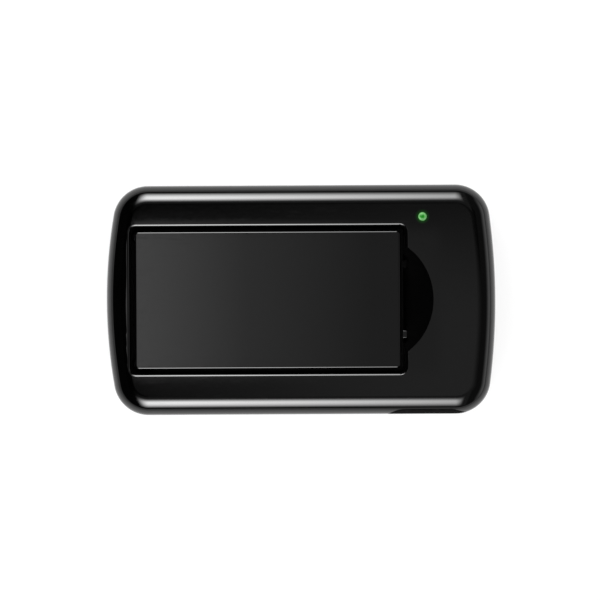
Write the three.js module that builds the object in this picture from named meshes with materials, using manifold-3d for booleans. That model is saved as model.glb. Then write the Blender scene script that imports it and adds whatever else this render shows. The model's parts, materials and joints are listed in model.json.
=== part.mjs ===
// Hand-held microchip scanner with a hinged battery hatch, in millimetres.
// The display side lies on z = 0 and the hatch side is up. +X runs along the case from the hatch's
// hinge to the finger notch, and the origin is under the middle of the case.
import * as THREE from "three";
import { mergeVertices } from "three/addons/utils/BufferGeometryUtils.js";
import Module from "manifold-3d";

const wasm = await Module();
wasm.setup();

// Case: a slab with bowed ends, rounded corners and rolled edges, split at the parting plane
const LENGTH = 150;
const WIDTH = 88.4;
const THICK = 30;
const EDGE_ROLL = 7.4;
const CORNER_R = 13.5;
const LEFT_END_R = 194.8;
const RIGHT_END_R = 247.8;
const WALL = 2.2;
const PARTING_Z = 12;
const PARTING_GAP = 0.05;
const LIP_DEPTH = 1.15;
const LIP_SPLIT = 1.1;
const LIP_GAP = 0.15;
const FAR = 100;

// Battery hatch, its recess and its hinge
const RECESS = { x0: -65.85, x1: 40.2, y: 28.2, z: 26.6, r: 2.2, rim: 1.3 };
const HATCH = { x0: -64, x1: 38.15, y: 26.4, r: 1.4, edge: 0.6, thick: 1.8 };
const SKIRT = { x0: -58, wall: 1.5, z0: 26.9, z1: 28.4 };
const FLANGE = { x1: 39.45, y: 27.85, z0: 26.7, z1: 27.8 };
const SNAP = { x0: 38, x1: 41, y: 13.5, half: 1.5, z0: 26.9 };
const HINGE = { x: -61.9, z: 26.6, knuckleR: 1.4, pinR: 0.75, boreR: 0.85, pinHalf: 18.4, post: 0.6 };
const KNUCKLE_Y = [9, 16];
const EAR_Y = [[6.5, 8.7], [16.3, 18.5]];
const POCKET = { x1: -58.85, z: 23, skin: 1.5 };
const PAD = { x0: -50, x1: 28, y: 20, z0: 26.35, z1: 28.15, r: 2 };

// Finger notch: a spherical scoop beside the hatch
const SCOOP = { x: 25.8, z: 49.6, r: 32, skin: 1.8, start: 37, end: 62 };

// Battery bay with six AA cells lying side by side across the case
const BAY = { x0: -57.35, x1: 31.85, y: 28.3, z0: 11.6, z1: 25.2, wall: 1.5, openY: 25.75 };
const CELLS = 6;
const CELL = { r: 7.1, half: 25.25, z: 19, nub: 1, nubR: 2.75, rim: 0.5 };
const CELL_PITCH = (BAY.x1 - BAY.x0) / CELLS;
const CONTACT = { y0: 27.9, y1: 28.2, z0: 13, z1: 25, half: 6.2, gap: 0.05 };
const TAIL = { half: 1, z: 8.9, slot: 0.3, slotZ: 9 };
const CONTACT_CONE = { flat: [5.4, 3.4], point: [3.6, 2.2] };

// Screws that hold the two halves together
const SCREW_XY = [[-62.6, -24.6], [-62.6, 24.6], [36.75, -24.6], [36.75, 24.6]];
const SCREW = { headR: 2.6, head: 2, shankR: 1.4, tip: 4.5, seat: 20.5, cross: 0.4 };
const BOSS = { rearR: 4, frontR: 3.25, boreR: 3, rearHole: 1.6, frontHole: 1.5, rearTop: 26, top: 11.9 };

// Scan button in the long side, and the switch behind it
const BUTTON = { x: 48.35, z: 20.9, half: 15.3, r: 6.3, gap: 0.3, y: -41 };
const WING = { x0: 31.6, x1: 38, z0: 16.5, z1: 22, y0: -41.9, y1: -40.9 };
const FOOT = { half: 7.5, z0: 12.6, z1: 15.1 };
const RIB = { half: 2.5, y0: -41.2, y1: -38.85, z0: 9.4, z1: 15.5 };
const SWITCH = { half: 3, y0: -37, y1: -33.5, z1: 12.2, stemZ: 10.6, stemR: 0.9, holeR: 1.1 };
const STEM = { y0: -38.8, y1: -36.2, holeEnd: -35.4 };

// Circuit board and what is on it
const BOARD = { x0: -58.5, x1: 64, y: 37, z0: 7.2, z1: 8.8, r: 3, gap: 0.45 };
const SEAT_Z = 8.85;
const BOARD_SCREW_XY = [[-52, -33.5], [-52, 33.5], [28, -33.5], [28, 33.5]];
const BOARD_SCREW = { headR: 2.4, head: 1.6, shankR: 1, tip: 3.4, holeR: 1.3, postR: 2.6, cross: 0.35 };
const CHIP = { lift: 0.1, pins: 6, pinHalf: 0.3, pinHeight: 0.5, pinReach: 1, pitch: 0.32 };
const CONTROLLER = { x: 50, y: -5, halfX: 5, halfY: 5, height: 1.5 };
const READER = { x: 50, y: 9, halfX: 5, halfY: 2.5, height: 1.7 };
const CRYSTAL = { x0: 58.3, x1: 62.7, y: -5, half: 5.5, r: 2.1, height: 3.5 };
const CAPACITOR = { x: 56, y: 19, r: 4, top: 19, bevel: 0.4 };
const BUZZER = { x: 55, y: -21, r: 7, top: 13.9, bevel: 0.5, portR: 1.2, portZ: 13.1 };
const SOCKET = { x0: 55, x1: 61, y: 30, half: 2.4, top: 13.9, wall: 0.8, floor: 10.6 };
const LEAD = { r: 0.45, xs: [56.9, 59.1], yz: [[30, 11], [30.2, 14.4], [33.5, 15.5], [37, 15.3], [38.9, 16.1]] };

// Status light: a 3 mm lamp on a spacer
const LED = { x: 46.95, y: 31.9, r: 1.5, holeR: 1.6, base: 25.1, flange: 1, flangeR: 1.9, dome: 28.9 };
const LED_SPACER = { r: 2.4, leadX: 1.27, leadHalf: 0.25, leadHole: 0.5 };

// Antenna: a flat coil on a channel-shaped former, right round the case
const ANTENNA = { out: 4.1, inn: 5.9, web: 5, z0: 16.5, z1: 21.3, flange: 0.6, wireOut: 4.2, wireIn: 4.9 };
const ANTENNA_RIB_X = [-40, -5, 22];
const ANTENNA_RIB_HALF = 1.2;
const ANTENNA_REST = { y: 37.6, lowTop: 9.5, highY: 41.7, highZ: 9 };

// Display behind a window in the face opposite the hatch
const DISPLAY_X = -10;
const WINDOW = { x: 35, y: 13, z0: 0.3, z1: 1.3, r: 2, gap: 0.2, ledge: 3, seat: 1.5 };
const LCD = { x: 33, y: 12, z0: 2.3, z1: 4.4 };
const BACKLIGHT = { y: 10, z0: 4.5, z1: 7.1 };
const GASKET = { inset: 0.2, lap: 0.5, gap: 0.02 };
const STRIP = { x: 30, y0: 10.6, y1: 11.8 };

const look = (color, roughness, metalness = 0) =>
  new THREE.MeshStandardMaterial({ color, roughness, metalness });
const CASE_BLACK = look(0x0b0b0c, 0.28);
const HATCH_BLACK = look(0x0c0c0d, 0.12);
const RUBBER_BLACK = look(0x080808, 0.75);
const STEEL = look(0x9a9a9c, 0.35, 1);
const NICKEL = look(0xb8b5ac, 0.3, 1);
const COPPER = look(0xa2552c, 0.4, 1);
const BOARD_GREEN = look(0x14512e, 0.5);
const CHIP_BLACK = look(0x141414, 0.6);
const FOAM_GREY = look(0x3a3a3c, 0.95);
const LAMP_GREEN = look(0x2fb24a, 0.2);
const NYLON_WHITE = look(0xd8d6cc, 0.5);
const WINDOW_SMOKE = look(0x151a1c, 0.08);
const GLASS_GREY = look(0x8d9a86, 0.2);
const CELL_WRAP = look(0x2b3f66, 0.35);

const product = new THREE.Group();

// ---- shape helpers ----

function solid(geometry) {
  const loose = geometry.index ? geometry.toNonIndexed() : geometry;
  loose.deleteAttribute("normal");
  loose.deleteAttribute("uv");
  const merged = mergeVertices(loose, 1e-4);
  return new wasm.Manifold(
    new wasm.Mesh({
      numProp: 3,
      vertProperties: merged.attributes.position.array,
      triVerts: new Uint32Array(merged.index.array),
    }),
  );
}

function add(name, shape, material) {
  const { vertProperties, triVerts } = shape.getMesh();
  const geometry = new THREE.BufferGeometry();
  geometry.setAttribute("position", new THREE.BufferAttribute(vertProperties, 3));
  geometry.setIndex(new THREE.BufferAttribute(triVerts, 1));
  geometry.computeVertexNormals();
  const mesh = new THREE.Mesh(geometry, material);
  mesh.name = name;
  product.add(mesh);
}

const union = (first, ...rest) => rest.reduce((whole, piece) => whole.add(piece), first);

function box(x0, x1, y0, y1, z0, z1) {
  const geometry = new THREE.BoxGeometry(x1 - x0, y1 - y0, z1 - z0);
  return solid(geometry.translate((x0 + x1) / 2, (y0 + y1) / 2, (z0 + z1) / 2));
}

// A box given by its half width across the case: the same on both sides of the X axis
const band = (x0, x1, y, z0, z1) => box(x0, x1, -y, y, z0, z1);

function rodZ(x, y, z0, z1, r, steps = 20) {
  const geometry = new THREE.CylinderGeometry(r, r, z1 - z0, steps);
  return solid(geometry.rotateX(Math.PI / 2).translate(x, y, (z0 + z1) / 2));
}

function rodY(x, z, y0, y1, r, steps = 16) {
  return solid(new THREE.CylinderGeometry(r, r, y1 - y0, steps).translate(x, (y0 + y1) / 2, z));
}

function sphere(r) {
  return solid(new THREE.SphereGeometry(r, 56, 28).rotateX(Math.PI / 2).translate(SCOOP.x, 0, SCOOP.z));
}

// A turned piece on a vertical axis: profile is a list of [radius, height] from the axis to the axis
function turnedZ(x, y, profile, steps = 20) {
  const points = profile.map(([r, z]) => new THREE.Vector2(r, z));
  return solid(new THREE.LatheGeometry(points, steps).rotateX(Math.PI / 2).translate(x, y, 0));
}

function arc(cx, cy, r, from, to, steps) {
  return Array.from({ length: steps + 1 }, (_, i) => {
    const angle = from + ((to - from) * i) / steps;
    return new THREE.Vector2(cx + r * Math.cos(angle), cy + r * Math.sin(angle));
  });
}

function roundRect(x0, x1, y, r, steps = 3) {
  const corner = (cx, cy, quarter) =>
    arc(cx, cy, r, (quarter * Math.PI) / 2, ((quarter + 1) * Math.PI) / 2, steps);
  return [
    ...corner(x1 - r, y - r, 0),
    ...corner(x0 + r, y - r, 1),
    ...corner(x0 + r, r - y, 2),
    ...corner(x1 - r, r - y, 3),
  ];
}

// The case outline seen from above, moved inwards by inset: every stretch is an arc or a straight line
function caseOutline(inset) {
  const cornerY = WIDTH / 2 - CORNER_R;
  const reach = (endR) => Math.sqrt((endR - CORNER_R) ** 2 - cornerY ** 2);
  const rightX = LENGTH / 2 - RIGHT_END_R;
  const leftX = LEFT_END_R - LENGTH / 2;
  const cornerRight = rightX + reach(RIGHT_END_R);
  const cornerLeft = leftX - reach(LEFT_END_R);
  const a = Math.atan2(cornerY, reach(RIGHT_END_R));
  const b = Math.atan2(cornerY, reach(LEFT_END_R));
  const r = CORNER_R - inset;
  const half = Math.PI / 2;
  return [
    ...arc(rightX, 0, RIGHT_END_R - inset, -a, a, 6),
    ...arc(cornerRight, cornerY, r, a, half, 7).slice(1),
    ...arc(cornerLeft, cornerY, r, half, 2 * half - b, 7),
    ...arc(leftX, 0, LEFT_END_R - inset, 2 * half - b, 2 * half + b, 6).slice(1),
    ...arc(cornerLeft, -cornerY, r, 2 * half + b, 3 * half, 7).slice(1),
    ...arc(cornerRight, -cornerY, r, 3 * half, 4 * half - a, 7).slice(0, -1),
  ];
}

function prism(points, z0, z1) {
  const options = { depth: z1 - z0, bevelEnabled: false };
  return solid(new THREE.ExtrudeGeometry(new THREE.Shape(points), options).translate(0, 0, z0));
}

// An upright prism whose top and bottom edges are rounded over (r > 0) or flared outwards (flare)
function edged(points, z0, z1, r, steps, flare = false) {
  const side = flare ? -r : r;
  const options = {
    depth: z1 - z0 - 2 * r,
    bevelThickness: r,
    bevelSize: side,
    bevelOffset: -side,
    bevelSegments: steps,
  };
  return solid(new THREE.ExtrudeGeometry(new THREE.Shape(points), options).translate(0, 0, z0 + r));
}

const ring = (outer, inner, z0, z1) => prism(outer, z0, z1).subtract(prism(inner, z0 - 1, z1 + 1));

// A flat-sided oval bar that runs along Y, for the button and its hole
function ovalY(grow, y0, y1) {
  const reach = BUTTON.half - BUTTON.r;
  const r = BUTTON.r + grow;
  const points = [
    ...arc(BUTTON.x + reach, BUTTON.z, r, -Math.PI / 2, Math.PI / 2, 10),
    ...arc(BUTTON.x - reach, BUTTON.z, r, Math.PI / 2, 1.5 * Math.PI, 10),
  ];
  return prism(points, 0, y1 - y0).rotate([90, 0, 0]).translate([0, y1, 0]);
}

const slab = () => edged(caseOutline(0), 0, THICK, EDGE_ROLL, 5);
const cavity = () => edged(caseOutline(WALL), WALL, THICK - WALL, EDGE_ROLL - WALL, 4);
const above = (z) => box(-FAR, FAR, -FAR, FAR, z, FAR);
const below = (z) => box(-FAR, FAR, -FAR, FAR, -FAR, z);
const cellX = (i) => BAY.x0 + (i + 0.5) * CELL_PITCH;

// ---- housings ----

function rearHousing() {
  const tongue = ring(
    caseOutline(LIP_SPLIT + LIP_GAP),
    caseOutline(WALL),
    PARTING_Z - LIP_DEPTH,
    PARTING_Z + 1,
  );
  const seatTop = THICK - WALL + 0.1;
  const wallY = BAY.y + BAY.wall;
  const bay = band(BAY.x0 - BAY.wall, BAY.x1 + BAY.wall, wallY, BAY.z0 - BAY.wall, seatTop);
  const pocket = band(RECESS.x0 - POCKET.skin, POCKET.x1, wallY, POCKET.z - POCKET.skin, seatTop);
  const ledge = band(BAY.x1, RECESS.x1 + POCKET.skin, wallY, BAY.z1, seatTop);
  const scoopSkin = sphere(SCOOP.r + SCOOP.skin).intersect(
    band(SCOOP.start - SCOOP.skin, SCOOP.end, FAR, 10, seatTop),
  );
  const ledRing = rodZ(LED.x, LED.y, LED.base + LED.flange + 0.2, seatTop, 2 * LED.holeR);
  const bosses = SCREW_XY.map(([x, y]) => rodZ(x, y, PARTING_Z + PARTING_GAP, BOSS.rearTop, BOSS.rearR));
  const ribs = ANTENNA_RIB_X.map((x) =>
    band(x - ANTENNA_RIB_HALF, x + ANTENNA_RIB_HALF, WIDTH / 2 - 1, ANTENNA.z1 + 0.1, seatTop),
  );
  const shell = slab().intersect(above(PARTING_Z + PARTING_GAP)).subtract(cavity());
  const filled = union(shell, bay, pocket, ledge, scoopSkin, ledRing, ...bosses, ...ribs)
    .intersect(slab())
    .add(tongue);
  return union(cutRear(filled), ...hingeEars());
}

function cutRear(filled) {
  const opening = roundRect(RECESS.x0, RECESS.x1, RECESS.y, RECESS.r);
  const recess = edged(opening, RECESS.z - 5, THICK, RECESS.rim, 3, true).intersect(above(RECESS.z));
  const scoop = sphere(SCOOP.r).intersect(band(SCOOP.start, SCOOP.end, FAR, 10, THICK + 5));
  const button = ovalY(BUTTON.gap, -FAR, -WIDTH / 2 + 3 * WALL);
  let cut = filled
    .subtract(recess)
    .subtract(prism(opening, RECESS.z, THICK + 1))
    .subtract(band(BAY.x0, BAY.x1, BAY.y, BAY.z0, BAY.z1))
    .subtract(band(BAY.x0, BAY.x1, BAY.openY, BAY.z1 - 1, RECESS.z + 1))
    .subtract(band(RECESS.x0, POCKET.x1, RECESS.y, POCKET.z, RECESS.z + 1))
    .subtract(scoop)
    .subtract(button)
    .subtract(rodZ(LED.x, LED.y, LED.base, THICK + 1, LED.holeR));
  for (const [x, y] of SCREW_XY) {
    cut = cut.subtract(rodZ(x, y, PARTING_Z - 1, SCREW.seat + 1, BOSS.rearHole, 16));
    cut = cut.subtract(rodZ(x, y, SCREW.seat, RECESS.z + 1, BOSS.boreR));
  }
  for (const i of [0, CELLS - 1]) {
    const half = TAIL.half + TAIL.slot;
    const slot = box(cellX(i) - half, cellX(i) + half, -BAY.y, -CONTACT.y0 + TAIL.slot, TAIL.slotZ, BAY.z0 + 1);
    cut = cut.subtract(slot);
  }
  return cut;
}

function hingeEars() {
  const ears = [];
  for (const side of [-1, 1]) {
    for (const [near, far] of EAR_Y) {
      const [y0, y1] = side > 0 ? [near, far] : [-far, -near];
      const post = box(HINGE.x - HINGE.post, HINGE.x + HINGE.knuckleR, y0, y1, POCKET.z - 0.1, HINGE.z);
      const barrel = rodY(HINGE.x, HINGE.z, y0, y1, HINGE.knuckleR);
      ears.push(post.add(barrel).subtract(rodY(HINGE.x, HINGE.z, y0 - 1, y1 + 1, HINGE.boreR)));
    }
  }
  return ears;
}

function frontHousing() {
  const top = PARTING_Z - PARTING_GAP;
  const lip = prism(caseOutline(LIP_SPLIT), PARTING_Z - LIP_DEPTH - 0.05, PARTING_Z + 1);
  const shell = slab().intersect(below(top)).subtract(cavity()).subtract(lip);
  const bosses = SCREW_XY.map(([x, y]) => rodZ(x, y, WALL - 0.1, BOSS.top, BOSS.frontR));
  const posts = BOARD_SCREW_XY.map(([x, y]) =>
    rodZ(x, y, WALL - 0.1, BOARD.z0 - 0.05, BOARD_SCREW.postR, 16),
  );
  const rests = [];
  for (const x of ANTENNA_RIB_X) {
    for (const side of [-1, 1]) {
      const rest = (depth, z0, z1) => {
        const ys = [side * ANTENNA_REST.y, side * depth].sort((p, q) => p - q);
        return box(x - ANTENNA_RIB_HALF, x + ANTENNA_RIB_HALF, ...ys, z0, z1);
      };
      rests.push(rest(WIDTH / 2 - WALL + 0.1, WALL - 0.2, ANTENNA_REST.lowTop));
      rests.push(rest(ANTENNA_REST.highY, ANTENNA_REST.highZ, ANTENNA.z0 - 0.1));
    }
  }
  const { x, y, r, gap, ledge, seat } = WINDOW;
  const rebate = roundRect(DISPLAY_X - x - gap, DISPLAY_X + x + gap, y + gap, r);
  const opening = roundRect(DISPLAY_X - x + ledge, DISPLAY_X + x - ledge, y - ledge, r / 2);
  let front = union(shell, ...bosses, ...posts, ...rests)
    .intersect(slab())
    .subtract(prism(rebate, -1, seat))
    .subtract(prism(opening, -1, WALL + 1));
  for (const [bx, by] of SCREW_XY) {
    front = front.subtract(rodZ(bx, by, SCREW.tip - 0.5, BOSS.top + 1, BOSS.frontHole, 16));
  }
  for (const [bx, by] of BOARD_SCREW_XY) {
    front = front.subtract(rodZ(bx, by, BOARD_SCREW.tip - 0.2, BOARD.z1, BOARD_SCREW.shankR + 0.15, 12));
  }
  return front;
}

// ---- battery hatch ----

function batteryHatch() {
  const lid = edged(roundRect(HATCH.x0, HATCH.x1, HATCH.y, HATCH.r), 20, THICK, HATCH.edge, 3);
  const plate = lid.intersect(above(THICK - HATCH.thick));
  const inner = roundRect(SKIRT.x0 + SKIRT.wall, HATCH.x1 - SKIRT.wall, HATCH.y - SKIRT.wall, 0.5, 2);
  const skirt = ring(roundRect(SKIRT.x0, HATCH.x1, HATCH.y, HATCH.r), inner, SKIRT.z0, SKIRT.z1);
  const flange = ring(roundRect(SKIRT.x0, FLANGE.x1, FLANGE.y, HATCH.r), inner, FLANGE.z0, FLANGE.z1);
  const pieces = [skirt, flange];
  for (const side of [-1, 1]) {
    const [y0, y1] = side > 0 ? KNUCKLE_Y : [-KNUCKLE_Y[1], -KNUCKLE_Y[0]];
    const web = box(HINGE.x - HINGE.knuckleR, HINGE.x + HINGE.knuckleR, y0, y1, HINGE.z, SKIRT.z1);
    pieces.push(web.add(rodY(HINGE.x, HINGE.z, y0, y1, HINGE.knuckleR)));
    const snapY = side * SNAP.y;
    pieces.push(box(SNAP.x0, SNAP.x1, snapY - SNAP.half, snapY + SNAP.half, SNAP.z0, FLANGE.z1));
  }
  const bore = rodY(HINGE.x, HINGE.z, -KNUCKLE_Y[1] - 1, KNUCKLE_Y[1] + 1, HINGE.boreR);
  return union(plate, ...pieces).subtract(bore);
}

function addHatch() {
  add("battery_hatch", batteryHatch(), HATCH_BLACK);
  add("hatch_foam_pad", prism(roundRect(PAD.x0, PAD.x1, PAD.y, PAD.r), PAD.z0, PAD.z1), FOAM_GREY);
  add("hinge_pin", rodY(HINGE.x, HINGE.z, -HINGE.pinHalf, HINGE.pinHalf, HINGE.pinR), STEEL);
}

// ---- power ----

// A cell lies along Y with its raised terminal at +Y or, turned over, at -Y
function cell(i) {
  const { r, half, nub, nubR, rim } = CELL;
  const profile = [[0, -half], [r - rim, -half], [r, rim - half], [r, half - nub - rim],
    [r - rim, half - nub], [nubR, half - nub], [nubR, half], [0, half]];
  const points = profile.map(([x, y]) => new THREE.Vector2(x, y));
  const turned = new THREE.LatheGeometry(points, 20);
  if (i % 2) turned.rotateX(Math.PI);
  return solid(turned.translate(cellX(i), 0, CELL.z));
}

// The raised face of a contact, up to the cell's end; side is the end of the bay
function contactFace(i, side) {
  const negative = (i % 2 === 0) === side < 0;
  const [wide, narrow] = negative ? CONTACT_CONE.flat : CONTACT_CONE.point;
  const length = CONTACT.y0 + 0.05 - CELL.half - CONTACT.gap;
  const geometry = new THREE.CylinderGeometry(narrow, wide, length, 16);
  if (side > 0) geometry.rotateX(Math.PI);
  const middle = side * (CELL.half + CONTACT.gap + length / 2);
  return solid(geometry.translate(cellX(i), middle, CELL.z));
}

function contact(cells, side) {
  const first = cellX(cells[0]) - CONTACT.half;
  const last = cellX(cells[cells.length - 1]) + CONTACT.half;
  const [y0, y1] = side > 0 ? [CONTACT.y0, CONTACT.y1] : [-CONTACT.y1, -CONTACT.y0];
  const plate = box(first, last, y0, y1, CONTACT.z0, CONTACT.z1);
  const whole = union(plate, ...cells.map((i) => contactFace(i, side)));
  if (cells.length > 1) return whole;
  const x = cellX(cells[0]);
  return whole.add(box(x - TAIL.half, x + TAIL.half, y0, y1, TAIL.z, CONTACT.z0 + 1));
}

function addPower() {
  for (let i = 0; i < CELLS; i++) add(`battery_cell_${i + 1}`, cell(i), CELL_WRAP);
  for (let i = 0; i < CELLS - 1; i++) {
    add(`contact_bridge_${i + 1}`, contact([i, i + 1], i % 2 ? -1 : 1), NICKEL);
  }
  add("contact_negative_end", contact([0], -1), NICKEL);
  add("contact_positive_end", contact([CELLS - 1], -1), NICKEL);
}

// ---- scan button and switch ----

function addButton() {
  const cap = ovalY(0, -FAR, BUTTON.y).intersect(slab());
  const wing = box(WING.x0, WING.x1, WING.y0, WING.y1, WING.z0, WING.z1);
  const foot = box(BUTTON.x - FOOT.half, BUTTON.x + FOOT.half, WING.y0, WING.y1, FOOT.z0, FOOT.z1);
  const rib = box(BUTTON.x - RIB.half, BUTTON.x + RIB.half, RIB.y0, RIB.y1, RIB.z0, RIB.z1);
  add("scan_button", union(cap, wing, foot, rib), RUBBER_BLACK);
  const { half, y0, y1, z1, stemZ, stemR, holeR } = SWITCH;
  const body = box(BUTTON.x - half, BUTTON.x + half, y0, y1, SEAT_Z, z1);
  add("switch_body", body.subtract(rodY(BUTTON.x, stemZ, y0 - 1, STEM.holeEnd, holeR)), CHIP_BLACK);
  add("switch_plunger", rodY(BUTTON.x, stemZ, STEM.y0, STEM.y1, stemR), NYLON_WHITE);
}

// ---- status light ----

function addLamp() {
  const { x, y, r, base, flange, flangeR, dome } = LED;
  const cap = [1, 2, 3].map((i) => {
    const angle = (i * Math.PI) / 8;
    return [r * Math.cos(angle), dome + r * Math.sin(angle)];
  });
  const profile = [[0, base], [flangeR, base], [flangeR, base + flange], [r, base + flange], [r, dome],
    ...cap, [0, dome + r]];
  add("status_led", turnedZ(x, y, profile), LAMP_GREEN);
  const { leadX, leadHalf, leadHole } = LED_SPACER;
  let spacer = rodZ(x, y, SEAT_Z, base - 0.05, LED_SPACER.r);
  for (const side of [-1, 1]) {
    const at = x + side * leadX;
    spacer = spacer.subtract(rodZ(at, y, 0, THICK, leadHole, 10));
    const lead = box(at - leadHalf, at + leadHalf, y - leadHalf, y + leadHalf, SEAT_Z, base - 0.05);
    add(side < 0 ? "led_lead_anode" : "led_lead_cathode", lead, NICKEL);
  }
  add("led_spacer", spacer, NYLON_WHITE);
}

// ---- circuit board ----

function board() {
  let plate = prism(roundRect(BOARD.x0, BOARD.x1, BOARD.y, BOARD.r), BOARD.z0, BOARD.z1);
  for (const [x, y] of SCREW_XY.slice(2)) {
    plate = plate.subtract(rodZ(x, y, 0, THICK, BOSS.frontR + BOARD.gap));
  }
  for (const [x, y] of SCREW_XY.slice(0, 2)) {
    plate = plate.subtract(rodZ(x, y, 0, THICK, BOSS.frontR + 3 * BOARD.gap));
  }
  for (const [x, y] of BOARD_SCREW_XY) {
    plate = plate.subtract(rodZ(x, y, 0, THICK, BOARD_SCREW.holeR, 12));
  }
  return plate;
}

function chip({ x, y, halfX, halfY, height }) {
  const body = box(x - halfX, x + halfX, y - halfY, y + halfY, SEAT_Z + CHIP.lift, SEAT_Z + height);
  const reach = halfY + CHIP.pinReach;
  const pins = Array.from({ length: CHIP.pins }, (_, i) => {
    const at = x + halfX * CHIP.pitch * (i - (CHIP.pins - 1) / 2);
    return box(at - CHIP.pinHalf, at + CHIP.pinHalf, y - reach, y + reach, SEAT_Z, SEAT_Z + CHIP.pinHeight);
  });
  return union(body, ...pins);
}

// A thin round wire along a smooth curve through the given points
function wire(points, r) {
  const path = new THREE.CatmullRomCurve3(points.map((p) => new THREE.Vector3(...p)));
  const section = new THREE.Shape(arc(0, 0, r, 0, (Math.PI * 5) / 3, 5));
  return solid(new THREE.ExtrudeGeometry(section, { steps: 8, extrudePath: path, bevelEnabled: false }));
}

function crystal() {
  const { x0, x1, y, half, r, height } = CRYSTAL;
  return prism(roundRect(x0, x1, half, r, 4), SEAT_Z, SEAT_Z + height).translate([0, y, 0]);
}

function capacitor() {
  const { x, y, r, top, bevel } = CAPACITOR;
  return turnedZ(x, y, [[0, SEAT_Z], [r, SEAT_Z], [r, top - bevel], [r - bevel, top], [0, top]]);
}

function buzzer() {
  const { x, y, r, top, bevel, portR, portZ } = BUZZER;
  const lid = [[r, top - bevel], [r - bevel, top], [portR, top], [portR, portZ], [0, portZ]];
  return turnedZ(x, y, [[0, SEAT_Z], [r, SEAT_Z], ...lid]);
}

function antennaSocket() {
  const { x0, x1, y, half, top, wall, floor } = SOCKET;
  const well = box(x0 + wall, x1 - wall, y - half + wall, y + half - wall, floor, top + 1);
  return box(x0, x1, y - half, y + half, SEAT_Z, top).subtract(well);
}

function addBoard() {
  add("main_pcb", board(), BOARD_GREEN);
  add("microcontroller", chip(CONTROLLER), CHIP_BLACK);
  add("reader_chip", chip(READER), CHIP_BLACK);
  add("crystal", crystal(), STEEL);
  add("storage_capacitor", capacitor(), CHIP_BLACK);
  add("piezo_buzzer", buzzer(), CHIP_BLACK);
  add("antenna_connector", antennaSocket(), NYLON_WHITE);
  LEAD.xs.forEach((x, i) => {
    const route = LEAD.yz.map(([y, z]) => [x, y, z]);
    add(`antenna_lead_${i + 1}`, wire(route, LEAD.r), i ? RUBBER_BLACK : COPPER);
  });
}

// ---- antenna ----

function addAntenna() {
  const { out, inn, web, z0, z1, flange, wireOut, wireIn } = ANTENNA;
  const upright = ring(caseOutline(web), caseOutline(inn), z0, z1);
  const rim = (z) => ring(caseOutline(out), caseOutline(inn), z, z + flange);
  add("antenna_former", union(upright, rim(z0), rim(z1 - flange)), NYLON_WHITE);
  const winding = ring(caseOutline(wireOut), caseOutline(wireIn), z0 + flange + 0.1, z1 - flange - 0.1);
  add("antenna_winding", winding, COPPER);
}

// ---- display ----

function addDisplay() {
  const { x, y, z0, z1, r, ledge, seat } = WINDOW;
  add("display_window", prism(roundRect(DISPLAY_X - x, DISPLAY_X + x, y, r), z0, z1), WINDOW_SMOKE);
  const outerX = x - GASKET.inset;
  const innerX = x - ledge + GASKET.lap;
  const outer = roundRect(DISPLAY_X - outerX, DISPLAY_X + outerX, y - GASKET.inset, r);
  const inner = roundRect(DISPLAY_X - innerX, DISPLAY_X + innerX, y - ledge + GASKET.lap, r / 2);
  add("window_gasket", ring(outer, inner, z1 + GASKET.gap, seat - GASKET.gap), RUBBER_BLACK);
  add("lcd_panel", band(DISPLAY_X - LCD.x, DISPLAY_X + LCD.x, LCD.y, LCD.z0, LCD.z1), GLASS_GREY);
  const backlight = band(DISPLAY_X - LCD.x, DISPLAY_X + LCD.x, BACKLIGHT.y, BACKLIGHT.z0, BACKLIGHT.z1);
  add("lcd_backlight", backlight, NYLON_WHITE);
  const strip = box(
    DISPLAY_X - STRIP.x, DISPLAY_X + STRIP.x, STRIP.y0, STRIP.y1, BACKLIGHT.z0, BACKLIGHT.z1,
  );
  add("lcd_connector_strip", strip, RUBBER_BLACK);
}

// ---- screws ----

function screw(x, y, seat, sizes) {
  const { headR, head, shankR, tip, cross } = sizes;
  const profile = [[0, tip], [shankR * 0.5, tip], [shankR, tip + 1], [shankR, seat], [headR, seat],
    [headR, seat + head * 0.6], [headR * 0.75, seat + head], [0, seat + head]];
  const arm = headR * 0.55;
  const top = seat + head + 1;
  return turnedZ(x, y, profile, 16)
    .subtract(box(x - arm, x + arm, y - cross, y + cross, seat + head * 0.4, top))
    .subtract(box(x - cross, x + cross, y - arm, y + arm, seat + head * 0.4, top));
}

function addScrews() {
  SCREW_XY.forEach(([x, y], i) => {
    add(`housing_screw_${i + 1}`, screw(x, y, SCREW.seat + 0.02, SCREW), STEEL);
  });
  BOARD_SCREW_XY.forEach(([x, y], i) => {
    add(`pcb_screw_${i + 1}`, screw(x, y, BOARD.z1 + 0.02, BOARD_SCREW), STEEL);
  });
}

add("rear_housing", rearHousing(), CASE_BLACK);
add("front_housing", frontHousing(), CASE_BLACK);
addHatch();
addPower();
addButton();
addLamp();
addBoard();
addAntenna();
addDisplay();
addScrews();

export default product;
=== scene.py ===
"""Looks for the hand-held microchip scanner: fine meshes, materials, studio and camera.

Fine meshes are built in millimetres in the frame of the CAD part, and scaled to metres as each
piece is handed over. The hatch side faces up and the display side lies on the floor.
"""

import json
import math

import bmesh
import bpy
from mathutils import Matrix, Vector


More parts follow.
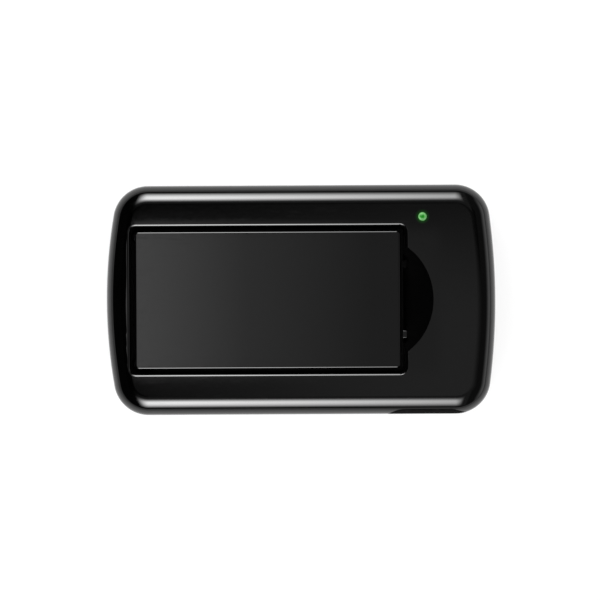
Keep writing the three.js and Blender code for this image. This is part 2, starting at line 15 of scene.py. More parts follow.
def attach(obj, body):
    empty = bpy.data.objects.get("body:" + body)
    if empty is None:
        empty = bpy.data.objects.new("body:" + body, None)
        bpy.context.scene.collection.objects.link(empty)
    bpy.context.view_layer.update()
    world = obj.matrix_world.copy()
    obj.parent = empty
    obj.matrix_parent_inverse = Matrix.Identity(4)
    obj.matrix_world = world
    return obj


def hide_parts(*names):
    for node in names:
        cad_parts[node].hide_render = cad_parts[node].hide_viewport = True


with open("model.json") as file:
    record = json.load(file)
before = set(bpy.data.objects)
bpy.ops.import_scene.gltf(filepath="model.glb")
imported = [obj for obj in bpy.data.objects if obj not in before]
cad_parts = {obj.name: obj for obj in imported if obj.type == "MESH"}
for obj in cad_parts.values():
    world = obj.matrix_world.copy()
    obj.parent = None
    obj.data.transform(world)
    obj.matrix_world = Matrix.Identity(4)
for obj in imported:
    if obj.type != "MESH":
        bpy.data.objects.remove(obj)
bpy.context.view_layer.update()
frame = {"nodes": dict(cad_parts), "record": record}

MM = 0.001

# ---- driving sizes, in millimetres ----

LENGTH = 150.0
WIDTH = 88.4
THICK = 30.0
EDGE_ROLL = 7.4
CORNER_R = 13.5
LEFT_END_R = 194.8
RIGHT_END_R = 247.8
WALL = 2.2
PARTING_Z = 12.0
PARTING_GAP = 0.05
SEAM_R = 0.22
LIP_DEPTH = 1.15
LIP_SPLIT = 1.1
LIP_GAP = 0.15

RECESS_X = (-65.85, 40.2)
RECESS_Y = 28.2
RECESS_Z = 26.6
RECESS_R = 2.2
RECESS_RIM = 1.5
SKIN = 1.5

HATCH_X = (-64.0, 38.15)
HATCH_Y = 26.4
HATCH_R = 1.4
HATCH_EDGE = 0.55
HATCH_THICK = 1.8
SKIRT_X = -58.0
SKIRT_WALL = 1.5
SKIRT_Z = 26.9
SKIRT_TOP = 28.4
FLANGE_X = 39.45
FLANGE_Y = 27.85
FLANGE_Z = (26.7, 27.8)
SNAP_X = (38.0, 41.0)
SNAP_Y = 13.5
SNAP_HALF = 1.5
STIFFENERS = 5
STIFFENER_X = -42.0
STIFFENER_PITCH = 18.0
STIFFENER_Y = (21.0, 25.0)
PAD_X = (-50.0, 28.0)
PAD_Y = 20.0
PAD_Z = (26.35, 28.15)
PAD_R = 2.0

HINGE_X = -61.9
HINGE_Z = 26.6
KNUCKLE_R = 1.4
HINGE_BORE = 0.85
HINGE_PIN_R = 0.75
HINGE_PIN_HALF = 18.4
EAR_BACK = 0.6
KNUCKLE_Y = (9.0, 16.0)
EARS_Y = ((6.5, 8.7), (16.3, 18.5))
POCKET_X = -58.85
POCKET_Z = 23.0

SCOOP_X = 25.8
SCOOP_Z = 49.6
SCOOP_R = 32.0
SCOOP_SKIN = 1.8
SCOOP_START = 37.0
SCOOP_END = 62.0
SCOOP_RIM = 0.15

BAY_X = (-57.35, 31.85)
BAY_Y = 28.3
BAY_Z = (11.6, 25.2)
BAY_WALL = 1.5
BAY_OPEN_Y = 25.75
CELLS = 6
CELL_PITCH = (BAY_X[1] - BAY_X[0]) / CELLS
CELL_R = 7.1
CELL_HALF = 25.25
CELL_Z = 19.0
CONTACT_Y = (27.9, 28.2)
CONTACT_Z = (13.0, 25.0)
CONTACT_HALF = 6.2
TAIL_HALF = 1.0
TAIL_Z = 8.9

SCREWS = ((-62.6, -24.6), (-62.6, 24.6), (36.75, -24.6), (36.75, 24.6))
SCREW_SEAT = 20.5
SCREW_TIP = 4.5
SCREW_SHANK = 1.4
SCREW_HEAD_R = 2.6
SCREW_HEAD = 2.0
SCREW_CROSS = 0.35
COUNTERBORE_R = 3.0
REAR_BOSS_R = 4.0
REAR_HOLE_R = 1.6
FRONT_BOSS_R = 3.25
FRONT_HOLE_R = 1.5
FRONT_BOSS_TOP = 11.9

BUTTON_X = 48.35
BUTTON_Z = 20.9
BUTTON_HALF = 15.3
BUTTON_R = 6.3
BUTTON_GAP = 0.3
BUTTON_BACK = -41.0
RETAINER_Y = (-41.9, -40.9)
WING_X = (31.6, 38.0)
WING_Z = (16.5, 22.0)
FOOT_HALF = 7.5
FOOT_Z = (12.6, 15.1)
RIB_HALF = 2.5
RIB_Y = (-41.2, -38.85)
RIB_Z = (9.4, 15.5)

LED_X = 46.95
LED_Y = 31.9
LED_R = 1.5
LED_BASE = 25.1
LED_DOME = 28.9
LED_FLANGE_R = 1.9
LED_HOLE_R = 1.6
LED_RING_R = 3.2

DISPLAY_X = -10.0
WINDOW_X = 35.0
WINDOW_Y = 13.0
WINDOW_Z = (0.3, 1.3)
WINDOW_SEAT = 1.5
WINDOW_LEDGE = 3.0
WINDOW_R = 2.0
WINDOW_GAP = 0.2


# ---- mesh building ----

def make_object(name, verts, faces):
    mesh = bpy.data.meshes.new(name)
    mesh.from_pydata(verts, [], faces)
    obj = bpy.data.objects.new(name, mesh)
    bpy.context.scene.collection.objects.link(obj)
    return obj


def loft(name, rings):
    """A closed solid through rings of points, each anticlockwise seen from the last one's side."""
    count = len(rings[0])
    verts = [point for ring in rings for point in ring]
    faces = []
    for low in range(0, count * (len(rings) - 1), count):
        for i in range(count):
            j = (i + 1) % count
            faces.append((low + i, low + j, low + count + j, low + count + i))
    faces.append(tuple(range(count - 1, -1, -1)))
    faces.append(tuple(range(len(verts) - count, len(verts))))
    return make_object(name, verts, faces)


def arc(cx, cy, r, start, end, steps):
    turns = [start + (end - start) * i / steps for i in range(steps + 1)]
    return [(cx + r * math.cos(t), cy + r * math.sin(t)) for t in turns]


def case_outline(inset):
    """The case seen from above, moved inwards by inset: bowed ends, round corners, straight sides."""
    corner_y = WIDTH / 2 - CORNER_R
    right_reach = math.sqrt((RIGHT_END_R - CORNER_R) ** 2 - corner_y ** 2)
    left_reach = math.sqrt((LEFT_END_R - CORNER_R) ** 2 - corner_y ** 2)
    right_x = LENGTH / 2 - RIGHT_END_R
    left_x = LEFT_END_R - LENGTH / 2
    a = math.atan2(corner_y, right_reach)
    b = math.atan2(corner_y, left_reach)
    r = CORNER_R - inset
    half = math.pi / 2
    corner, end = 20, 16
    return (
        arc(right_x, 0, RIGHT_END_R - inset, -a, a, end)
        + arc(right_x + right_reach, corner_y, r, a, half, corner)[1:]
        + arc(left_x - left_reach, corner_y, r, half, 2 * half - b, corner)
        + arc(left_x, 0, LEFT_END_R - inset, 2 * half - b, 2 * half + b, end)[1:]
        + arc(left_x - left_reach, -corner_y, r, 2 * half + b, 3 * half, corner)[1:]
        + arc(right_x + right_reach, -corner_y, r, 3 * half, 4 * half - a, corner)[:-1]
    )


def round_rect(x0, x1, y, r, steps=8):
    """An outline function: a rectangle with round corners, moved inwards by its argument."""
    def outline(inset):
        radius = r - inset
        points = []
        centres = ((x1 - r, y - r), (x0 + r, y - r), (x0 + r, r - y), (x1 - r, r - y))
        for quarter, (cx, cy) in enumerate(centres):
            start = quarter * math.pi / 2
            points += arc(cx, cy, radius, start, start + math.pi / 2, steps)
        return points
    return outline


def rounded(name, outline, z0, z1, low=0.0, high=0.0, steps=10):
    """An upright solid with its bottom or top edge rounded over, or flared out where negative."""
    turns = [k * math.pi / 2 / steps for k in range(steps + 1)]
    levels = [(0.0, z0)]
    if low:
        levels = [(low * (1 - math.cos(t)), z0 + abs(low) * (1 - math.sin(t))) for t in turns[::-1]]
    if high:
        levels += [(high * (1 - math.cos(t)), z1 - abs(high) * (1 - math.sin(t))) for t in turns]
    else:
        levels.append((0.0, z1))
    return loft(name, [[(x, y, z) for x, y in outline(inset)] for inset, z in levels])


def block(x0, x1, y0, y1, z0, z1):
    ring = ((x0, y0), (x1, y0), (x1, y1), (x0, y1))
    return loft("block", [[(x, y, z) for x, y in ring] for z in (z0, z1)])


def band(x0, x1, y, z0, z1):
    return block(x0, x1, -y, y, z0, z1)


def spin(name, profile, place=None, steps=48, looks=None):
    """A solid turned about Z through (radius, height) points that start and end on the axis.
    looks gives the material index of each stretch between two points."""
    verts, faces, index, rows = [], [], [], []
    for r, z in profile:
        if r < 1e-6:
            rows.append([len(verts)] * steps)
            verts.append((0.0, 0.0, z))
            continue
        rows.append(list(range(len(verts), len(verts) + steps)))
        for i in range(steps):
            t = 2 * math.pi * i / steps
            verts.append((r * math.cos(t), r * math.sin(t), z))
    for k in range(len(rows) - 1):
        for i in range(steps):
            j = (i + 1) % steps
            ring = (rows[k][i], rows[k][j], rows[k + 1][j], rows[k + 1][i])
            faces.append(tuple(dict.fromkeys(ring)))
            index.append(looks[k] if looks else 0)
    obj = make_object(name, verts, faces)
    obj.data.polygons.foreach_set("material_index", index)
    if place:
        obj.data.transform(place)
    return obj


def rod_z(x, y, z0, z1, r, steps=40):
    return spin("rod", [(0, z0), (r, z0), (r, z1), (0, z1)], Matrix.Translation((x, y, 0)), steps)


ALONG_Y = Matrix.Rotation(-math.pi / 2, 4, "X")


def rod_y(x, z, y0, y1, r, steps=32):
    place = Matrix.Translation((x, 0, z)) @ ALONG_Y
    return spin("rod", [(0, y0), (r, y0), (r, y1), (0, y1)], place, steps)


def sweep(name, points, r, sides=10):
    """A round wire along points, for a path that turns mostly about Y."""
    rings = []
    for k, point in enumerate(points):
        tangent = (points[min(k + 1, len(points) - 1)] - points[max(k - 1, 0)]).normalized()
        across = tangent.cross(Vector((0, 1, 0))).normalized()
        up = tangent.cross(across)
        turns = [2 * math.pi * i / sides for i in range(sides)]
        rings.append([tuple(point + r * (math.cos(t) * across + math.sin(t) * up)) for t in turns])
    return loft(name, rings)


def apply_modifiers(obj):
    depsgraph = bpy.context.evaluated_depsgraph_get()
    mesh = bpy.data.meshes.new_from_object(obj.evaluated_get(depsgraph))
    obj.modifiers.clear()
    obj.data = mesh
    return obj


def combine(target, tools, operation):
    for tool in tools:
        modifier = target.modifiers.new("combine", "BOOLEAN")
        modifier.operation = operation
        modifier.solver = "MANIFOLD"
        modifier.object = tool
    apply_modifiers(target)
    for tool in tools:
        bpy.data.objects.remove(tool)
    return target


def cut(target, *tools):
    return combine(target, tools, "DIFFERENCE")


def join(target, *tools):
    return combine(target, tools, "UNION")


def keep(target, tool):
    return combine(target, [tool], "INTERSECT")


def clean(obj):
    """Merges points that a cut left together, and drops the faces that collapse."""
    edit = bmesh.new()
    edit.from_mesh(obj.data)
    bmesh.ops.remove_doubles(edit, verts=edit.verts, dist=2e-4)
    bmesh.ops.dissolve_degenerate(edit, edges=edit.edges, dist=1e-4)
    edit.to_mesh(obj.data)
    edit.free()


def soften(obj, width, segments=2, angle=40):
    """Rounds the edges that turn by more than angle."""
    modifier = obj.modifiers.new("soften", "BEVEL")
    modifier.width = width
    modifier.segments = segments
    modifier.limit_method = "ANGLE"
    modifier.angle_limit = math.radians(angle)
    return apply_modifiers(obj)


def mark_inside(obj):
    """Gives the second material, a painted-shade black that barely reflects, to the housing's faces that lie
    within the recess or the notch.
    """
    for face in obj.data.polygons:
        x, y, z = face.center
        in_recess = RECESS_X[0] - 0.01 < x < RECESS_X[1] + 0.01 and abs(y) < RECESS_Y + 0.01
        in_scoop = x > SCOOP_START - 0.01 and math.hypot(x - SCOOP_X, y) < SCOOP_R
        if z < THICK - 0.2 and (in_recess or (in_scoop and abs(face.normal.z) < 0.999)):
            face.material_index = 1


def piece(obj, name, body, slot, materials, *nodes, sharp=32):
    """Hands a finished mesh over: metres, smooth shading, materials, body and CAD nodes; slot is not used.
    """
    clean(obj)
    obj.name = name
    obj.data.name = name
    obj.data.transform(Matrix.Scale(MM, 4))
    looks = [face.material_index for face in obj.data.polygons]
    obj.data.materials.clear()
    for material in materials:
        obj.data.materials.append(material)
    obj.data.polygons.foreach_set("material_index", [min(i, len(materials) - 1) for i in looks])
    obj.data.polygons.foreach_set("use_smooth", [True] * len(obj.data.polygons))
    obj.data.set_sharp_from_angle(angle=math.radians(sharp))
    normals = obj.modifiers.new("normals", "WEIGHTED_NORMAL")
    normals.keep_sharp = True
    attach(obj, body)
    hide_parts(*nodes)
    return obj


# ---- materials ----

def node(tree, kind, inputs=None, **settings):
    made = tree.nodes.new(kind)
    for key, value in settings.items():
        setattr(made, key, value)
    for key, value in (inputs or {}).items():
        if isinstance(value, bpy.types.NodeSocket):
            tree.links.new(value, made.inputs[key])
        else:
            made.inputs[key].default_value = value
    return made


def noise(tree, scale, detail=2.0, stretch=(1, 1, 1)):
    """Noise in the part's own frame, with scale in features per metre."""
    place = node(tree, "ShaderNodeTexCoord").outputs["Object"]
    mapped = node(tree, "ShaderNodeMapping", {"Vector": place, "Scale": stretch})
    made = node(
        tree, "ShaderNodeTexNoise", {"Vector": mapped.outputs[0], "Scale": scale, "Detail": detail}
    )
    return made.outputs["Fac"]


def ramp(tree, value, start, end, low, high, smooth=False):
    made = node(
        tree, "ShaderNodeMapRange",
        {"Value": value, "From Min": start, "From Max": end, "To Min": low, "To Max": high},
        interpolation_type="SMOOTHSTEP" if smooth else "LINEAR",
    )
    return made.outputs[0]


def spread(tree, value, low, high, start=0.3, end=0.7):
    """Takes the middle of a noise's range, or start to end, to low and high."""
    return ramp(tree, value, start, end, low, high)


def calc(tree, operation, *values):
    return node(tree, "ShaderNodeMath", dict(enumerate(values)), operation=operation).outputs[0]


def product_of(tree, *values):
    total = values[0]
    for value in values[1:]:
        total = calc(tree, "MULTIPLY", total, value)
    return total


def coordinates(tree, kind="Object"):
    """The X, Y and Z outputs of a point's place, in the part's own frame unless kind says otherwise."""
    place = node(tree, "ShaderNodeTexCoord").outputs[kind]
    return node(tree, "ShaderNodeSeparateXYZ", {0: place}).outputs


def mix_colors(tree, share, first, second):
    made = node(tree, "ShaderNodeMix", data_type="RGBA")
    for socket, value in ((made.inputs[0], share), (made.inputs[6], first), (made.inputs[7], second)):
        if isinstance(value, bpy.types.NodeSocket):
            tree.links.new(value, socket)
        elif isinstance(value, tuple):
            socket.default_value = (*value, 1.0)
        else:
            socket.default_value = value
    return made.outputs[2]


def surface(name, color, tint, rough, grain, bump, stretch=(1, 1, 1), patch=60.0, **constants):
    """A moulded, drawn or woven surface: two tints in soft patches, uneven gloss, and a fine relief.
    rough is the roughness range, grain the relief's features per metre, bump its height in metres."""
    material = bpy.data.materials.new(name)
    material.use_nodes = True
    tree = material.node_tree
    shader = tree.nodes["Principled BSDF"]
    shader.inputs["Base Color"].default_value = (*color, 1.0)
    colour = mix_colors(tree, spread(tree, noise(tree, patch, 4.0, stretch), 0.0, 1.0), color, tint)
    tree.links.new(colour, shader.inputs["Base Color"])
    gloss = spread(tree, noise(tree, grain * 0.35, 4.0, stretch), *rough)
    tree.links.new(gloss, shader.inputs["Roughness"])
    relief = node(
        tree, "ShaderNodeBump",
        {"Height": noise(tree, grain, 3.0, stretch), "Distance": bump, "Strength": 1.0},
    )
    tree.links.new(relief.outputs[0], shader.inputs["Normal"])
    for key, value in constants.items():
        shader.inputs[key.replace("_", " ")].default_value = value
    return material


def scratched(material, amount, stretch):
    """Adds faint straight wipe marks to a glossy surface's roughness."""
    tree = material.node_tree
    shader = tree.nodes["Principled BSDF"]
    before = shader.inputs["Roughness"].links[0].from_socket
    marks = spread(tree, noise(tree, 420.0, 6.0, stretch), 0.0, amount, 0.56, 0.7)
    tree.links.new(calc(tree, "ADD", before, marks), shader.inputs["Roughness"])
    return material


def set_glow(material, colour):
    shader = material.node_tree.nodes["Principled BSDF"]
    material.node_tree.links.new(colour, shader.inputs["Emission Color"])
    shader.inputs["Emission Strength"].default_value = 1.0


def from_lamp(tree, inner, outer):
    """0 to 1 as a point goes from inner to outer millimetres away from the status light's axis."""
    place = node(tree, "ShaderNodeTexCoord").outputs["Object"]
    flat = node(tree, "ShaderNodeVectorMath", {0: place, 1: (1.0, 1.0, 0.0)}, operation="MULTIPLY")
    centre = (LED_X * MM, LED_Y * MM, 0.0)
    away = node(tree, "ShaderNodeVectorMath", {0: flat.outputs[0], 1: centre}, operation="DISTANCE")
    return spread(tree, away.outputs["Value"], 0.0, 1.0, inner * MM, outer * MM)


GLOSS_BLACK = ((0.0002, 0.0002, 0.0002), (0.0004, 0.0004, 0.0004))


def case_material():
    """Polished black plastic, with a painted faint green glow from the status light in it round the lens."""
    material = surface("case_plastic", *GLOSS_BLACK, (0.07, 0.1), 2600.0, 6.0e-7)
    tree = material.node_tree
    # Painted light: the case itself glows green near the lens, standing in for the status light's spill on
    # the face and countersink.
    height = coordinates(tree)["Z"]
    below = ramp(tree, height, (THICK - 0.5) * MM, (THICK - 1.0) * MM, 0.0, 1.0)
    beyond_painted_glow = calc(tree, "MAXIMUM", from_lamp(tree, 1.5, 2.9), below)
    set_glow(material, mix_colors(tree, beyond_painted_glow, (0.0, 0.035, 0.0), (0.0, 0.0, 0.0)))
    return scratched(material, 0.04, (0.25, 1.6, 1.0))


CASE_BLACK = case_material()
HATCH_BLACK = scratched(
    surface("hatch_plastic", *GLOSS_BLACK, (0.04, 0.07), 1500.0, 3.0e-7), 0.04, (0.2, 1.8, 1.0),
)
# Painted shade: nearly the case's black but barely reflecting, so the recess, the notch and the hatch's
# underside stay as black as shade.
PAINTED_SHADE_BLACK = surface(
    "painted_shade_plastic", (0.0002, 0.0002, 0.0002), (0.0005, 0.0005, 0.0005), (0.5, 0.65), 5200.0, 1.2e-5,
    Specular_IOR_Level=0.02,
)
BUTTON_RUBBER = surface(
    "button_rubber", (0.0015, 0.0015, 0.0015), (0.005, 0.005, 0.005), (0.62, 0.78), 4200.0, 1.4e-5,
    patch=900.0, Specular_IOR_Level=0.02,
)


def lamp_material():
    """The status light's lens: pale green at its rim and deeper green over the die."""
    material = surface(
        "status_lens", (0.0, 0.02, 0.0), (0.0, 0.03, 0.0), (0.35, 0.45), 3000.0, 1.0e-6,
        Specular_IOR_Level=0.2,
    )
    tree = material.node_tree
    rim = from_lamp(tree, 0.4 * LED_R, 0.75 * LED_R)
    blotch = spread(tree, noise(tree, 900.0, 1.0), 0.0, 1.0)
    ring = mix_colors(tree, blotch, (0.1, 0.28, 0.1), (0.26, 0.64, 0.23))
    set_glow(material, mix_colors(tree, rim, (0.006, 0.2, 0.005), ring))
    return material


def window_material():
    """Smoked acrylic: a clear field over the display inside an opaque black border."""
    material = surface(
        "window_acrylic", (0.004, 0.005, 0.0055), (0.006, 0.007, 0.0075), (0.03, 0.06), 1800.0, 3.0e-7,
    )
    tree = material.node_tree
    shader = tree.nodes["Principled BSDF"]
    place = node(tree, "ShaderNodeTexCoord").outputs["Object"]
    centred = node(
        tree, "ShaderNodeVectorMath", {0: place, 1: (DISPLAY_X * MM, 0.0, 0.0)}, operation="SUBTRACT"
    )
    apart = node(tree, "ShaderNodeSeparateXYZ", {0: centred.outputs[0]})
    masks = []
    half_sizes = (WINDOW_X - WINDOW_LEDGE - 1.0, WINDOW_Y - WINDOW_LEDGE - 1.0)
    for axis, half in zip(("X", "Y"), half_sizes):
        size = calc(tree, "ABSOLUTE", apart.outputs[axis])
        masks.append(spread(tree, size, 0.0, 1.0, half * MM, (half + 0.15) * MM))
    alpha = spread(tree, calc(tree, "MAXIMUM", *masks), 0.45, 1.0, 0.0, 1.0)
    tree.links.new(alpha, shader.inputs["Alpha"])
    return material


def soldered_board():
    """Green solder mask with faint copper tracks under it."""
    material = surface(
        "board_mask", (0.008, 0.075, 0.03), (0.012, 0.1, 0.04), (0.25, 0.38), 2200.0, 6.0e-6,
    )
    tree = material.node_tree
    shader = tree.nodes["Principled BSDF"]
    base = shader.inputs["Base Color"].links[0].from_socket
    place = node(tree, "ShaderNodeTexCoord").outputs["Object"]
    tracks = node(
        tree, "ShaderNodeTexBrick",
        {"Vector": place, "Scale": 260.0, "Mortar Size": 0.06,
         "Color1": (0, 0, 0, 1), "Color2": (0, 0, 0, 1), "Mortar": (1, 1, 1, 1)},
    )
    lit = mix_colors(tree, tracks.outputs["Color"], base, (0.03, 0.2, 0.07))
    tree.links.new(lit, shader.inputs["Base Color"])
    return material


STEEL = surface(
    "zinc_steel", (0.5, 0.5, 0.5), (0.6, 0.59, 0.56), (0.24, 0.4), 2800.0, 4.0e-6, Metallic=1.0,
)
NICKEL = surface(
    "nickel_spring", (0.58, 0.56, 0.52), (0.66, 0.64, 0.6), (0.16, 0.3), 3000.0, 3.0e-6,
    stretch=(1, 6, 1), Metallic=1.0,
)
# Painted shade: the screws are zinc-plated steel, darkened here so that their heads show no glint in the
# shaded gap beside the hatch.
SHADE_DARKENED_STEEL = surface(
    "shade_darkened_steel", (0.012, 0.012, 0.013), (0.02, 0.02, 0.021), (0.4, 0.5), 2800.0, 4.0e-6,
    Metallic=1.0,
)
SLEEVE_BLUE = surface(
    "cell_sleeve", (0.012, 0.035, 0.12), (0.016, 0.045, 0.15), (0.24, 0.3), 1400.0, 1.2e-6,
    Metallic=0.35,
)
SLEEVE_BAND = surface(
    "cell_band", (0.5, 0.27, 0.09), (0.54, 0.3, 0.1), (0.26, 0.32), 1400.0, 1.0e-6, Metallic=0.85,
)
FOAM = surface(
    "closed_cell_foam", (0.03, 0.03, 0.032), (0.055, 0.055, 0.058), (0.85, 0.98), 2400.0, 9.0e-5,
)
NYLON = surface("nylon", (0.66, 0.64, 0.58), (0.73, 0.71, 0.65), (0.4, 0.55), 2600.0, 6.0e-6)
EPOXY = surface("chip_epoxy", (0.016, 0.016, 0.017), (0.024, 0.024, 0.025), (0.5, 0.65), 6000.0, 1.2e-5)
COPPER = surface(
    "enamelled_copper", (0.55, 0.2, 0.07), (0.65, 0.26, 0.1), (0.2, 0.32), 2400.0, 1.6e-5,
    stretch=(0.2, 0.2, 3), Metallic=0.9,
)
LCD_GLASS = surface("lcd_glass", (0.2, 0.25, 0.18), (0.23, 0.28, 0.2), (0.12, 0.2), 2000.0, 1.0e-6)
WIRE_RED = surface(
    "red_insulation", (0.3, 0.015, 0.012), (0.38, 0.02, 0.015), (0.3, 0.45), 2600.0, 8.0e-6,
)
WIRE_BLACK = surface(
    "black_insulation", (0.01, 0.01, 0.01), (0.015, 0.015, 0.015), (0.3, 0.45), 2600.0, 8.0e-6,
)
CAN_SLEEVE = surface(
    "capacitor_sleeve", (0.012, 0.016, 0.045), (0.02, 0.025, 0.06), (0.3, 0.4), 2400.0, 5.0e-6,
)
STATUS_LENS = lamp_material()
WINDOW = window_material()
BOARD = soldered_board()

NODE_LOOKS = {
    "case": CASE_BLACK, "hatch": HATCH_BLACK, "button": BUTTON_RUBBER, "foam": FOAM, "steel": STEEL,
    "cell": SLEEVE_BLUE, "contact": NICKEL, "chip": EPOXY, "nylon": NYLON, "lamp": STATUS_LENS,
    "board": BOARD, "sleeve": CAN_SLEEVE, "wire_red": WIRE_RED, "wire_black": WIRE_BLACK,
    "copper": COPPER, "window": WINDOW, "lcd": LCD_GLASS,
}


def dress_cad_nodes():
    """Gives every CAD node the material of its slot; the ones that stay shown keep it."""
    for part in frame["record"]["subparts"]:
        mesh = frame["nodes"][part["node"]].data
        mesh.materials.clear()
        mesh.materials.append(NODE_LOOKS[part["material_slot"]])


# ---- housings ----

def scoop_ball(r, rim=0.0):
    """The finger notch's sphere up to the face. With rim, its edge flares out to meet the face."""
    depth = THICK - SCOOP_Z
    if not rim:
        turns = [math.pi * k / 48 for k in range(49)]
        profile = [(r * math.sin(t), SCOOP_Z - r * math.cos(t)) for t in turns]
        profile[0], profile[-1] = (0.0, profile[0][1]), (0.0, profile[-1][1])
        return spin("ball", profile, Matrix.Translation((SCOOP_X, 0, 0)), 160)
    fillet_z = depth - rim
    fillet_r = math.sqrt((r + rim) ** 2 - fillet_z ** 2)
    tilt = math.atan2(fillet_r, -fillet_z)
    profile = [(r * math.sin(tilt * k / 40), SCOOP_Z - r * math.cos(tilt * k / 40)) for k in range(41)]
    profile[0] = (0.0, profile[0][1])
    for k in range(1, 7):
        turn = math.pi / 2 + tilt * (1 - k / 6)
        profile.append((fillet_r + rim * math.cos(turn), THICK - rim + rim * math.sin(turn)))
    profile += [(fillet_r, THICK + 3), (0.0, THICK + 3)]
    return spin("scoop", profile, Matrix.Translation((SCOOP_X, 0, 0)), 200)


def oval_y(grow, y0, y1):
    """A flat-sided oval bar along Y, for the scan button and its hole."""
    reach = BUTTON_HALF - BUTTON_R
    r = BUTTON_R + grow
    quarter = math.pi / 2
    points = arc(BUTTON_X + reach, BUTTON_Z, r, -quarter, quarter, 20)
    points += arc(BUTTON_X - reach, BUTTON_Z, r, quarter, 3 * quarter, 20)
    return loft("oval", [[(x, y, z) for x, z in points] for y in (y1, y0)])


def slab():
    return rounded("slab", case_outline, 0, THICK, EDGE_ROLL, EDGE_ROLL, 24)


def inner_outline(inset):
    return case_outline(inset + WALL)


def lip_outline(inset):
    return case_outline(inset + LIP_SPLIT + LIP_GAP)


def split_outline(inset):
    return case_outline(inset + LIP_SPLIT)


def hinge_ear(y0, y1):
    post = block(HINGE_X - EAR_BACK, HINGE_X + KNUCKLE_R, y0, y1, POCKET_Z - 0.1, HINGE_Z)
    join(post, rod_y(HINGE_X, HINGE_Z, y0, y1, KNUCKLE_R))
    return cut(post, rod_y(HINGE_X, HINGE_Z, y0 - 1, y1 + 1, HINGE_BORE))


def rear_housing():
    top = THICK - WALL + 0.1
    wall_y = BAY_Y + BAY_WALL
    shell = rounded("shell", case_outline, PARTING_Z + PARTING_GAP, THICK, SEAM_R, EDGE_ROLL, 24)
    cut(shell, rounded("hollow", inner_outline, 5, THICK - WALL, 0, EDGE_ROLL - WALL, 8))
    tongue = rounded("tongue", lip_outline, PARTING_Z - LIP_DEPTH, PARTING_Z + 1)
    cut(tongue, rounded("hollow", inner_outline, 5, PARTING_Z + 2))
    scoop_skin = scoop_ball(SCOOP_R + SCOOP_SKIN)
    keep(scoop_skin, block(SCOOP_START - SCOOP_SKIN, SCOOP_END, -40, 40, 10, top))
    join(
        shell,
        tongue,
        band(BAY_X[0] - BAY_WALL, BAY_X[1] + BAY_WALL, wall_y, BAY_Z[0] - BAY_WALL, top),
        band(RECESS_X[0] - SKIN, POCKET_X, wall_y, POCKET_Z - SKIN, top),
        band(BAY_X[1], RECESS_X[1] + SKIN, wall_y, BAY_Z[1], top),
        scoop_skin,
        rod_z(LED_X, LED_Y, LED_BASE + 1.2, top, LED_RING_R),
        *[rod_z(x, y, PARTING_Z + PARTING_GAP, POCKET_Z + 3, REAR_BOSS_R) for x, y in SCREWS],
    )
    recess = round_rect(*RECESS_X, RECESS_Y, RECESS_R)
    flared = rounded("recess", recess, RECESS_Z, THICK + 0.02, 0, -RECESS_RIM, 10)
    mouth = round_rect(*BAY_X, BAY_OPEN_Y, 1.2)
    countersink = [
        (0, THICK - 0.3), (LED_HOLE_R, THICK - 0.3), (LED_HOLE_R + 0.35, THICK + 0.02), (0, THICK + 0.02),
    ]
    scoop = scoop_ball(SCOOP_R, SCOOP_RIM)
    keep(scoop, block(SCOOP_START, SCOOP_END, -40, 40, 10, THICK + 2))
    cut(
        shell,
        flared,
        band(*BAY_X, BAY_Y, *BAY_Z),
        rounded("mouth", mouth, BAY_Z[1] - 1, RECESS_Z + 0.01, 0, -0.35, 4),
        band(RECESS_X[0], POCKET_X, RECESS_Y, POCKET_Z, RECESS_Z + 1),
        scoop,
        oval_y(BUTTON_GAP, -60, 3 * WALL - WIDTH / 2),
        rod_z(LED_X, LED_Y, LED_BASE, THICK + 1, LED_HOLE_R),
        spin("countersink", countersink, Matrix.Translation((LED_X, LED_Y, 0))),
        *[rod_z(x, y, PARTING_Z - 1, SCREW_SEAT + 1, REAR_HOLE_R) for x, y in SCREWS],
        *[rod_z(x, y, SCREW_SEAT, RECESS_Z + 1, COUNTERBORE_R) for x, y in SCREWS],
    )
    ears = [hinge_ear(*sorted((s * a, s * b))) for s in (-1, 1) for a, b in EARS_Y]
    join(shell, *ears)
    mark_inside(shell)
    return shell


def front_housing():
    top = PARTING_Z - PARTING_GAP
    shell = rounded("shell", case_outline, 0, top, EDGE_ROLL, SEAM_R, 24)
    cut(
        shell,
        rounded("hollow", inner_outline, WALL, top + 1, EDGE_ROLL - WALL, 0, 8),
        rounded("lip", split_outline, PARTING_Z - LIP_DEPTH - 0.05, PARTING_Z + 1),
    )
    join(shell, *[rod_z(x, y, WALL - 0.1, FRONT_BOSS_TOP, FRONT_BOSS_R) for x, y in SCREWS])
    rebate = round_rect(
        DISPLAY_X - WINDOW_X - WINDOW_GAP, DISPLAY_X + WINDOW_X + WINDOW_GAP,
        WINDOW_Y + WINDOW_GAP, WINDOW_R,
    )
    opening = round_rect(
        DISPLAY_X - WINDOW_X + WINDOW_LEDGE, DISPLAY_X + WINDOW_X - WINDOW_LEDGE,
        WINDOW_Y - WINDOW_LEDGE, 1.0,
    )
    cut(
        shell,
        rounded("rebate", rebate, -0.02, WINDOW_SEAT, -0.4, 0, 6),
        rounded("opening", opening, -1, WALL + 1),
        *[rod_z(x, y, 4.0, 13, FRONT_HOLE_R) for x, y in SCREWS],
    )
    return shell


def add_housings():
    piece(rear_housing(), "rear_shell", "root", "case", [CASE_BLACK, PAINTED_SHADE_BLACK], "rear_housing")
    piece(front_housing(), "front_shell", "root", "case", [CASE_BLACK], "front_housing")


# ---- hatch ----

